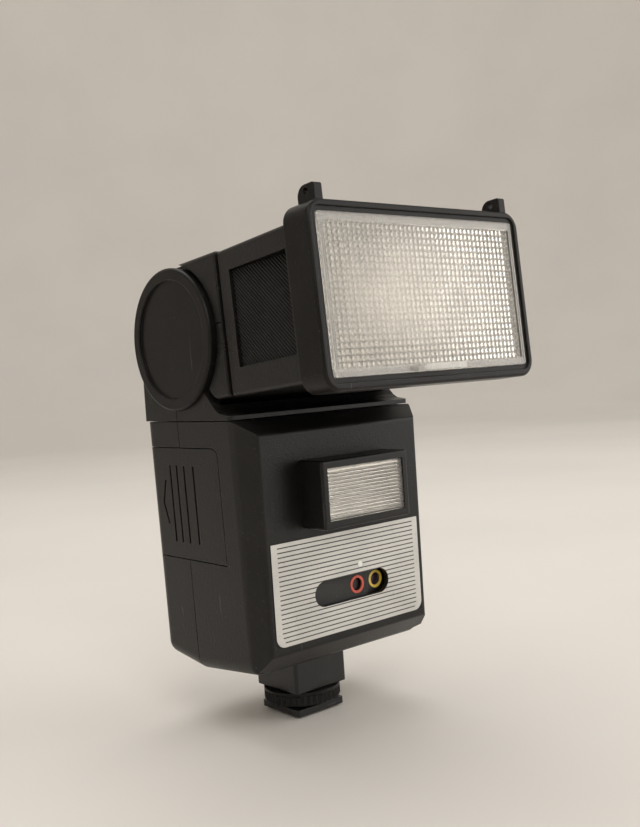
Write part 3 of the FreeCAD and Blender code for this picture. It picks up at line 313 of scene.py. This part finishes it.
def make_materials():
    """One finished material for each slot of the record."""
    face_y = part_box("label_plate")[0].y
    brown = (0.4, (0.30, 0.18, 0.08, 1))
    rust = (0.3, (0.2, 0.14, 0.1, 1))
    return {
        "body_plastic": moulded("body_plastic", 0.0085, 0.36, warm=1.06),
        "foot_plastic": moulded("foot_plastic", 0.0070, 0.36, 0.6, warm=1.04, gloss=0.45),
        "smooth_plastic": moulded("smooth_plastic", 0.0075, 0.40, 0.35, 1.3, 1.10, 0.20),
        "grip_plastic": moulded("grip_plastic", 0.0110, 0.55, 0.7, 0.6, 1.05),
        "grey_plastic": moulded("grey_plastic", 0.0240, 0.45, 0.6),
        "scale_print": moulded("scale_print", 0.0140, 0.40, 0.3, 0.8),
        "label_metal": label_metal(face_y),
        "clear_lens": clear("clear_lens", (0.88, 0.855, 0.805, 1), 0.97, 0.10, 0.05, heart=0.20),
        "frosted_tab": clear("frosted_tab", (0.80, 0.785, 0.75, 1), 0.45, 0.30, 0.1),
        "flash_glass": clear("flash_glass", (0.95, 0.95, 0.94, 1), 0.85, 0.05, 0.1, 1.46),
        "sensor_glass": clear("sensor_glass", (0.05, 0.03, 0.05, 1), 0.4, 0.08, 0.1, 1.5),
        "lamp": clear("lamp", (0.85, 0.25, 0.06, 1), 0.6, 0.15, 0.2, 1.5),
        "mirror_sheet": metal("mirror_sheet", (0.99, 0.975, 0.935, 1), 0.5, (0.3, 0.3, 0.3), 0.02),
        "contact_brass": metal("contact_brass", (0.80, 0.62, 0.30, 1), 0.28, tarnish=brown),
        "spring_steel": metal("spring_steel", (0.55, 0.55, 0.56, 1), 0.25),
        "steel": metal("steel", (0.12, 0.12, 0.125, 1), 0.38, (1, 0.4, 1), 0.02, rust),
        "cell_can": metal("cell_can", (0.45, 0.38, 0.22, 1), 0.35, (0.2, 1, 1)),
        "capacitor_can": mottled("capacitor_can", (0.02, 0.03, 0.10, 1), (0.03, 0.04, 0.14, 1), 0.35),
        "winding": mottled("winding", (0.45, 0.32, 0.08, 1), (0.28, 0.18, 0.04, 1), 0.5, 900.0, 0.05),
        "board": mottled("board", (0.02, 0.13, 0.05, 1), (0.03, 0.18, 0.08, 1), 0.4, 700.0),
        "white_print": mottled("white_print", (0.88, 0.87, 0.84, 1), (0.78, 0.77, 0.73, 1), 0.5),
        "rubber": mottled("rubber", (0.55, 0.53, 0.50, 1), (0.42, 0.40, 0.37, 1), 0.7),
        "red_plastic": mottled("red_plastic", (0.62, 0.10, 0.055, 1), (0.50, 0.075, 0.045, 1), 0.32),
        "yellow_plastic": mottled("yellow_plastic", (0.80, 0.58, 0.10, 1), (0.68, 0.46, 0.07, 1), 0.32),
    }


# ---- mesh helpers -------------------------------------------------------------------
def piece(name, mesh_builder, slot, body, *replaced, smooth_angle=30.0):
    """Turns a finished bmesh into a piece that rides on a body and stands for CAD nodes."""
    bmesh.ops.remove_doubles(mesh_builder, verts=mesh_builder.verts, dist=0.0005 * MM)
    bmesh.ops.recalc_face_normals(mesh_builder, faces=mesh_builder.faces)
    data = bpy.data.meshes.new(name)
    mesh_builder.to_mesh(data)
    mesh_builder.free()
    data.shade_smooth()
    data.set_sharp_from_angle(angle=math.radians(smooth_angle))
    made = bpy.data.objects.new(name, data)
    bpy.context.scene.collection.objects.link(made)
    made.data.materials.append(materials[slot])
    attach(made, body)
    if replaced:
        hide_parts(*replaced)
    return made


def rounded_outline(x, y, radius, steps=6):
    """Points of a rounded rectangle from two (low, high) pairs, anticlockwise."""
    points = []
    corners = ((x[1], y[1], 0), (x[0], y[1], 1), (x[0], y[0], 2), (x[1], y[0], 3))
    for corner_x, corner_y, quarter in corners:
        middle_x = corner_x - math.copysign(radius, corner_x - sum(x) / 2)
        middle_y = corner_y - math.copysign(radius, corner_y - sum(y) / 2)
        for step in range(steps + 1):
            angle = math.pi / 2 * (quarter + step / steps)
            points.append((middle_x + radius * math.cos(angle), middle_y + radius * math.sin(angle)))
    return points


def loop_edges(verts, bm):
    """Edges that join the vertices in a closed ring."""
    return [bm.edges.get(pair) or bm.edges.new(pair) for pair in zip(verts, verts[1:] + verts[:1])]


def skirt(first, second, bm):
    """Quads between two rings of the same length."""
    for index in range(len(first)):
        after = (index + 1) % len(first)
        bm.faces.new((first[index], first[after], second[after], second[index]))


# ---- clear panel over the lens ------------------------------------------------------
PANEL_S = (71.9, 73.0)
PRISM_PITCH = 1.68
PRISM_COLUMNS = 42
PRISM_ROWS = 22
PRISM_DEPTH = 0.55
PRISM_SINK = 0.05       # the tips stand this far below the plain border
FIELD_CORNER = (-35.28, -17.45)     # lower left corner of the field of prisms
TAB_X = 8.1
TAB_N = (-19.35, -17.7)
TAB_S = 76.0
TAB_CORNER = 0.6


def prism_panel():
    """Clear panel with a field of square pyramids inside a plain border, and its pull tab."""
    bm = bmesh.new()
    low_x, low_n = FIELD_CORNER
    valley_s = PANEL_S[1] - PRISM_DEPTH
    valley = {}
    for column in range(PRISM_COLUMNS + 1):
        for row in range(PRISM_ROWS + 1):
            spot = (low_x + column * PRISM_PITCH, valley_s, low_n + row * PRISM_PITCH)
            valley[column, row] = bm.verts.new(head_point(*spot))
    for column in range(PRISM_COLUMNS):
        for row in range(PRISM_ROWS):
            middle_x = low_x + (column + 0.5) * PRISM_PITCH
            middle_n = low_n + (row + 0.5) * PRISM_PITCH
            tip = bm.verts.new(head_point(middle_x, PANEL_S[1] - PRISM_SINK, middle_n))
            ring = [(column, row), (column + 1, row), (column + 1, row + 1), (column, row + 1)]
            for index in range(4):
                bm.faces.new((valley[ring[index]], valley[ring[(index + 1) % 4]], tip))
    rim = [(column, 0) for column in range(PRISM_COLUMNS)]
    rim += [(PRISM_COLUMNS, row) for row in range(PRISM_ROWS)]
    rim += [(column, PRISM_ROWS) for column in range(PRISM_COLUMNS, 0, -1)]
    rim += [(0, row) for row in range(PRISM_ROWS, 0, -1)]
    low_ring = [valley[place] for place in rim]
    high_ring = []
    for column, row in rim:
        spot = (low_x + column * PRISM_PITCH, PANEL_S[1], low_n + row * PRISM_PITCH)
        high_ring.append(bm.verts.new(head_point(*spot)))
    skirt(low_ring, high_ring, bm)

    outline = rounded_outline(LENS_X, LENS_N, 0.9)
    face_x = (LENS_X[0] + 0.25, LENS_X[1] - 0.25)
    face_n = (LENS_N[0] + 0.15, LENS_N[1] - 0.25)
    chamfer = rounded_outline(face_x, face_n, 0.8)
    face_ring = [bm.verts.new(head_point(x, PANEL_S[1], n)) for x, n in chamfer]
    side_ring = [bm.verts.new(head_point(x, PANEL_S[1] - 0.2, n)) for x, n in outline]
    back_ring = [bm.verts.new(head_point(x, PANEL_S[0], n)) for x, n in outline]
    skirt(face_ring, side_ring, bm)
    skirt(side_ring, back_ring, bm)
    bm.faces.new(back_ring)

    wall = [(-TAB_X, PANEL_S[1])]
    for step in range(5):
        angle = math.pi * (1 - step / 8)
        corner_x = -TAB_X + TAB_CORNER + TAB_CORNER * math.cos(angle)
        corner_s = TAB_S - TAB_CORNER + TAB_CORNER * math.sin(angle)
        wall.append((corner_x, corner_s))
    wall += [(-x, s) for x, s in reversed(wall)]
    under = [bm.verts.new(head_point(x, s, TAB_N[0])) for x, s in wall]
    over = [bm.verts.new(head_point(x, s, TAB_N[1])) for x, s in wall]
    bm.faces.new(under)
    bm.faces.new(over)
    for index in range(len(wall) - 1):
        bm.faces.new((under[index], under[index + 1], over[index + 1], over[index]))
    tab_ring = [under[0], under[-1], over[-1], over[0]]
    borders = loop_edges(face_ring, bm) + loop_edges(high_ring, bm) + loop_edges(tab_ring, bm)
    bmesh.ops.triangle_fill(bm, use_beauty=True, use_dissolve=False, edges=borders)
    made = piece("prism_panel", bm, "clear_lens", "wide_panel", "wide_panel", smooth_angle=12.0)
    made.data.materials.append(materials["frosted_tab"])
    face_y = head_point(0, PANEL_S[1] + 0.1, TAB_N[1]).y
    for polygon in made.data.polygons:
        polygon.material_index = 1 if polygon.center.y < face_y else 0
    made.visible_shadow = False


# ---- window of the small flash ------------------------------------------------------
WINDOW_RIBS = 13
WINDOW_GROOVE = 0.34    # depth of the grooves between the ribs
WINDOW_BORDER = 0.9
WINDOW_CHAMFER = 0.15
WINDOW_STEPS = 6


def ribbed_window():
    """Clear window with a smooth face and rounded ribs along its inside."""
    low, high = (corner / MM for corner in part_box("fill_flash_window"))
    bm = bmesh.new()
    span = high.z - low.z - 2 * WINDOW_BORDER
    profile = [(low.y + WINDOW_CHAMFER, low.z), (low.y, low.z + WINDOW_CHAMFER)]
    profile += [(low.y, high.z - WINDOW_CHAMFER), (low.y + WINDOW_CHAMFER, high.z), (high.y, high.z)]
    for rib in range(WINDOW_RIBS):
        for step in range(WINDOW_STEPS + 1):
            share = step / WINDOW_STEPS
            height = high.z - WINDOW_BORDER - (rib + share) * span / WINDOW_RIBS
            bulge = math.sin(math.pi * share)
            profile.append((high.y - WINDOW_GROOVE * (1 - bulge), height))
    profile.append((high.y, low.z))
    ends = []
    for x in (low.x, high.x):
        ends.append([bm.verts.new(Vector((x, y, z)) * MM) for y, z in profile])
    skirt(ends[0], ends[1], bm)
    for ring in ends:
        edges = [bm.edges.get(pair) for pair in zip(ring, ring[1:] + ring[:1])]
        bmesh.ops.triangle_fill(bm, use_beauty=True, use_dissolve=False, edges=edges)
    made = piece("ribbed_window", bm, "clear_lens", "body", "fill_flash_window", smooth_angle=40.0)
    made.visible_shadow = False


# ---- ribbed grip pads ---------------------------------------------------------------
GRIP_FLOOR_X = 33.1
GRIP_TOP_X = 33.9
GRIP_S = (31.2, 58.8)
GRIP_N = (-11.8, 15.1)
RIB_PITCH = 0.9
RIB_HEIGHT = 0.4
RIB_PROFILE = ((0.0, 0.0), (0.22, 1.0), (0.58, 1.0), (0.8, 0.0), (1.0, 0.0))


def clipped(points, low, high):
    """The part of a convex (s, n) polygon whose diagonal position lies from low to high."""
    for limit, side in ((low, 1.0), (high, -1.0)):
        kept = []
        for first, second in zip(points, points[1:] + points[:1]):
            over = [side * (sum(point) / math.sqrt(2) - limit) for point in (first, second)]
            if over[0] >= 0:
                kept.append(first)
            if over[0] * over[1] < 0:
                share = over[0] / (over[0] - over[1])
                kept.append(tuple(a + (b - a) * share for a, b in zip(first, second)))
        points = kept
        if len(points) < 3:
            return []
    return points


def rib_height(diagonal):
    """Height of the ribbed surface at a diagonal position."""
    part = (diagonal / RIB_PITCH) % 1.0
    for (start, low), (end, high) in zip(RIB_PROFILE, RIB_PROFILE[1:]):
        if start <= part <= end:
            return RIB_HEIGHT * (low + (high - low) * (part - start) / (end - start))
    return 0.0


def ribbed_grip(side, name, replaced):
    """Grip pad with fine diagonal ribs, let into one side of the sleeve."""
    bm = bmesh.new()
    pad = [(GRIP_S[0], GRIP_N[0]), (GRIP_S[1], GRIP_N[0]), (GRIP_S[1], GRIP_N[1]), (GRIP_S[0], GRIP_N[1])]
    first = math.floor((GRIP_S[0] + GRIP_N[0]) / math.sqrt(2) / RIB_PITCH)
    last = math.ceil((GRIP_S[1] + GRIP_N[1]) / math.sqrt(2) / RIB_PITCH)
    base_x = GRIP_TOP_X - RIB_HEIGHT
    for rib in range(first, last + 1):
        for (start, _), (end, _) in zip(RIB_PROFILE, RIB_PROFILE[1:]):
            strip = clipped(pad, (rib + start) * RIB_PITCH, (rib + end) * RIB_PITCH)
            if len(strip) < 3:
                continue
            middle = (start + end) / 2 + rib
            corners = []
            for s, n in strip:
                position = sum((s, n)) / math.sqrt(2) / RIB_PITCH
                inside = position + (middle - position) * 1e-6
                x = base_x + rib_height(inside * RIB_PITCH)
                corners.append(bm.verts.new(head_point(side * x, s, n)))
            bm.faces.new(corners)
    bmesh.ops.remove_doubles(bm, verts=bm.verts, dist=0.002 * MM)
    rim = [edge for edge in bm.edges if edge.is_boundary]
    grown = bmesh.ops.extrude_edge_only(bm, edges=rim)["geom"]
    for vertex in (part for part in grown if isinstance(part, bmesh.types.BMVert)):
        vertex.co.x = side * GRIP_FLOOR_X * MM
    piece(name, bm, "grip_plastic", "zoom", replaced, smooth_angle=25.0)


# ---- printed marks ------------------------------------------------------------------
DOT_HEIGHT = 0.04
DOT_SIDES = 32


def disc_mark(name, centre, normal, radius, slot, body):
    """Small printed dot: a low dome that stands on a surface."""
    bm = bmesh.new()
    side = normal.orthogonal().normalized()
    other = normal.cross(side)
    rings = []
    for share, height in ((1.0, 0.0), (0.96, 0.7), (0.8, 1.0), (0.4, 1.0)):
        ring = []
        for step in range(DOT_SIDES):
            angle = 2 * math.pi * step / DOT_SIDES
            out = (side * math.cos(angle) + other * math.sin(angle)) * radius * share
            ring.append(bm.verts.new((centre + out + normal * DOT_HEIGHT * height) * MM))
        rings.append(ring)
    for low, high in zip(rings, rings[1:]):
        skirt(low, high, bm)
    bm.faces.new(rings[-1])
    bm.faces.new(rings[0])
    return piece(name, bm, slot, body)


INK = 0.03              # height of a print over its face
DIAL_Z = 66.0
SPEED_R = 12.2          # circle of the film-speed numbers
SPEED_START = 60        # degrees
SPEED_STEP = 40
DIAL_DIGIT = 2.3        # height of the digits
TICK_R = 15.0           # circle of the dial's ticks
RING_R = 7.2            # ring in the middle of the dial
APERTURE_TICK_R = 18.6
APERTURE_R = 22.2       # circle of the aperture numbers beside the dial
APERTURE_STEP = 16
PLATE_DIGIT = 2.6
LINE_HALF = 0.14
RULE_Z = (48.4, 84.6)
RULE_HALF = 26.0
SWITCH_X = 15.0
SWITCH_MARK_Z = 38.9


def rear_place(u, v, w, x, z, face_y):
    """Row-frame point of a mark on a face that looks to the rear, u to the reader's right."""
    return Vector((x - u, face_y + w, z + v)) * MM


def add_digits(bm, digits, x, z, size, face_y):
    """Adds printed digits, centred on a point."""
    curve = bpy.data.curves.new("digits", "FONT")
    curve.body = digits
    curve.size = size
    curve.resolution_u = 4
    curve.align_x = "CENTER"
    curve.align_y = "CENTER"
    curve.extrude = INK / 2
    holder = bpy.data.objects.new("digits", curve)
    bpy.context.scene.collection.objects.link(holder)
    bpy.context.view_layer.update()
    evaluated = holder.evaluated_get(bpy.context.evaluated_depsgraph_get())
    shape = bpy.data.meshes.new_from_object(evaluated)
    for vertex in shape.vertices:
        u, v, w = vertex.co
        vertex.co = rear_place(u, v, w + INK / 4, x, z, face_y)
    bm.from_mesh(shape)
    bpy.data.objects.remove(holder)
    bpy.data.curves.remove(curve)
    bpy.data.meshes.remove(shape)


def add_bar(bm, x, z, half_long, half_wide, angle, face_y):
    """Adds a printed bar that points along an angle, as the reader sees it."""
    along = Vector((math.cos(angle), math.sin(angle)))
    across = Vector((-along.y, along.x))
    signs = ((1, 1), (-1, 1), (-1, -1), (1, -1))
    corners = [along * a * half_long + across * b * half_wide for a, b in signs]
    rings = []
    for height in (-INK / 4, INK * 0.75):
        rings.append([bm.verts.new(rear_place(c.x, c.y, height, x, z, face_y)) for c in corners])
    skirt(rings[0], rings[1], bm)
    bm.faces.new(rings[0])
    bm.faces.new(rings[1])


def around(radius, degrees):
    """Offset from the dial's centre, as the reader sees it."""
    return radius * math.cos(math.radians(degrees)), radius * math.sin(math.radians(degrees))


def dial_print():
    """Film-speed numbers and ticks on the calculator dial."""
    face_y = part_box("calculator_dial")[1].y / MM
    bm = bmesh.new()
    for index, digits in enumerate(("12", "25", "50", "100", "200", "400", "800")):
        u, v = around(SPEED_R, SPEED_START - index * SPEED_STEP)
        add_digits(bm, digits, -u, DIAL_Z + v, DIAL_DIGIT, face_y)
    for index in range(36):
        u, v = around(TICK_R, index * 10)
        reach = 0.9 if index % 3 == 0 else 0.5
        add_bar(bm, -u, DIAL_Z + v, reach, 0.11, math.radians(index * 10), face_y)
    for index in range(60):
        u, v = around(RING_R, index * 6)
        add_bar(bm, -u, DIAL_Z + v, 0.4, 0.1, math.radians(index * 6 + 90), face_y)
    piece("dial_print", bm, "white_print", "calculator_dial")


def scale_print():
    """Aperture numbers beside the dial, and a rule above and below it, on the scale plate."""
    face_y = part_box("rear_scale_plate")[1].y / MM
    bm = bmesh.new()
    for side, numbers in ((0, ("2", "2.8", "4", "5.6", "8")), (180, ("11", "16", "22", "32", "45"))):
        for index, digits in enumerate(numbers):
            degrees = side + (2 - index) * APERTURE_STEP
            u, v = around(APERTURE_TICK_R, degrees)
            add_bar(bm, -u, DIAL_Z + v, 0.6, LINE_HALF, math.radians(degrees), face_y)
            u, v = around(APERTURE_R, degrees)
            add_digits(bm, digits, -u, DIAL_Z + v, PLATE_DIGIT, face_y)
    for height in RULE_Z:
        add_bar(bm, 1.0, height, RULE_HALF, 0.16, 0.0, face_y)
    piece("scale_print", bm, "white_print", "body")


def switch_print():
    """0 and 1 beside each slide switch."""
    face_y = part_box("rear_scale_plate")[1].y / MM
    bm = bmesh.new()
    for x in (-SWITCH_X, SWITCH_X):
        add_digits(bm, "0", x - 2.0, SWITCH_MARK_Z, PLATE_DIGIT, face_y)
        add_digits(bm, "1", x + 5.0, SWITCH_MARK_Z, PLATE_DIGIT, face_y)
        add_bar(bm, x + 1.5, SWITCH_MARK_Z, 1.4, LINE_HALF, 0.0, face_y)
    piece("switch_print", bm, "white_print", "body")


# ---- stage --------------------------------------------------------------------------
SWEEP_FLOOR = 1.5       # metres: radius of the flat floor
SWEEP_CURVE = 0.9       # radius of the curve that leads into the wall
SWEEP_HEIGHT = 2.4
SWEEP_SIDES = 96


def add_floor():
    """Plain pale floor that sweeps up all round, with the faint unevenness of painted board."""
    bm = bmesh.new()
    profile = [(0.02, 0.0), (0.4, 0.0), (SWEEP_FLOOR, 0.0)]
    for step in range(1, 17):
        angle = math.pi / 2 * step / 16
        out = SWEEP_FLOOR + SWEEP_CURVE * math.sin(angle)
        profile.append((out, SWEEP_CURVE * (1 - math.cos(angle))))
    profile.append((SWEEP_FLOOR + SWEEP_CURVE, SWEEP_HEIGHT))
    rings = []
    for radius, height in profile:
        ring = []
        for step in range(SWEEP_SIDES):
            angle = 2 * math.pi * step / SWEEP_SIDES
            ring.append(bm.verts.new((radius * math.cos(angle), radius * math.sin(angle), height)))
        rings.append(ring)
    bm.faces.new(rings[0])
    for low, high in zip(rings, rings[1:]):
        skirt(low, high, bm)
    bmesh.ops.recalc_face_normals(bm, faces=bm.faces)
    bmesh.ops.reverse_faces(bm, faces=bm.faces)
    data = bpy.data.meshes.new("floor")
    bm.to_mesh(data)
    bm.free()
    data.shade_smooth()
    floor = bpy.data.objects.new("floor", data)
    floor.location.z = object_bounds()[0][2] - 0.02 * MM
    bpy.context.scene.collection.objects.link(floor)
    m = Shader("floor_paint")
    cloud = m.noise(4.0, 3.0)
    colour = m.mix(m.span(cloud, 0.3, 0.7), (0.80, 0.765, 0.715, 1), (0.76, 0.73, 0.69, 1))
    normal = m.bump(m.noise(900.0, 3.0), 0.02 * MM)
    data.materials.append(m.surface(Base_Color=colour, Roughness=0.55, Normal=normal))


def add_light(name, place, aim, size, power, colour):
    data = bpy.data.lights.new(name, "AREA")
    data.shape = "RECTANGLE"
    data.size, data.size_y = size
    data.energy = power
    data.color = colour
    lamp = bpy.data.objects.new(name, data)
    bpy.context.scene.collection.objects.link(lamp)
    lamp.location = place
    lamp.rotation_euler = (Vector(aim) - Vector(place)).to_track_quat("-Z", "Y").to_euler()


def add_lights():
    """Soft studio light: key from the left, large fill from the right, a narrow strip that rims
    the left edges, an overhead, a wash on the backdrop and a pale world."""
    aim = (0.0, -0.01, 0.08)
    add_light("key", (-0.45, -0.85, 0.85), aim, (0.6, 0.6), 4.4, (1.0, 0.97, 0.93))
    add_light("fill", (0.80, -0.80, 0.45), aim, (1.1, 1.0), 6.5, (1.0, 0.98, 0.96))
    add_light("strip", (-1.0, 0.22, 0.25), aim, (0.14, 0.9), 0.9, (1.0, 0.98, 0.95))
    add_light("overhead", (0.1, 0.25, 1.0), aim, (0.9, 0.9), 3.2, (1.0, 0.98, 0.95))
    add_light("backdrop", (0.5, 0.4, 1.5), (1.3, 1.9, 0.2), (1.0, 1.0), 5.0, (1.0, 0.98, 0.95))
    world = bpy.data.worlds.new("studio")
    world.use_nodes = True
    back = world.node_tree.nodes["Background"]
    back.inputs["Color"].default_value = (0.86, 0.83, 0.79, 1.0)
    back.inputs["Strength"].default_value = 0.58
    bpy.context.scene.world = world
    bpy.context.scene.view_settings.view_transform = "Standard"


# ---- putting it together ------------------------------------------------------------
add_camera()
add_lights()
materials = make_materials()
for node_name, node in nodes.items():
    for holder in node.material_slots:
        holder.material = materials[slot_of[node_name]]
nodes["fixed_lens"].visible_shadow = False

prism_panel()
ribbed_window()
ribbed_grip(-1, "ribbed_grip_left", "zoom_grip_left")
ribbed_grip(1, "ribbed_grip_right", "zoom_grip_right")
label_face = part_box("label_plate")[0].y / MM
dot_place = Vector((4.1, label_face - 0.01, 48.0))
disc_mark("label_index_dot", dot_place, Vector((0, -1, 0)), 0.9, "white_print", "body")
dial_print()
scale_print()
switch_print()
add_floor()
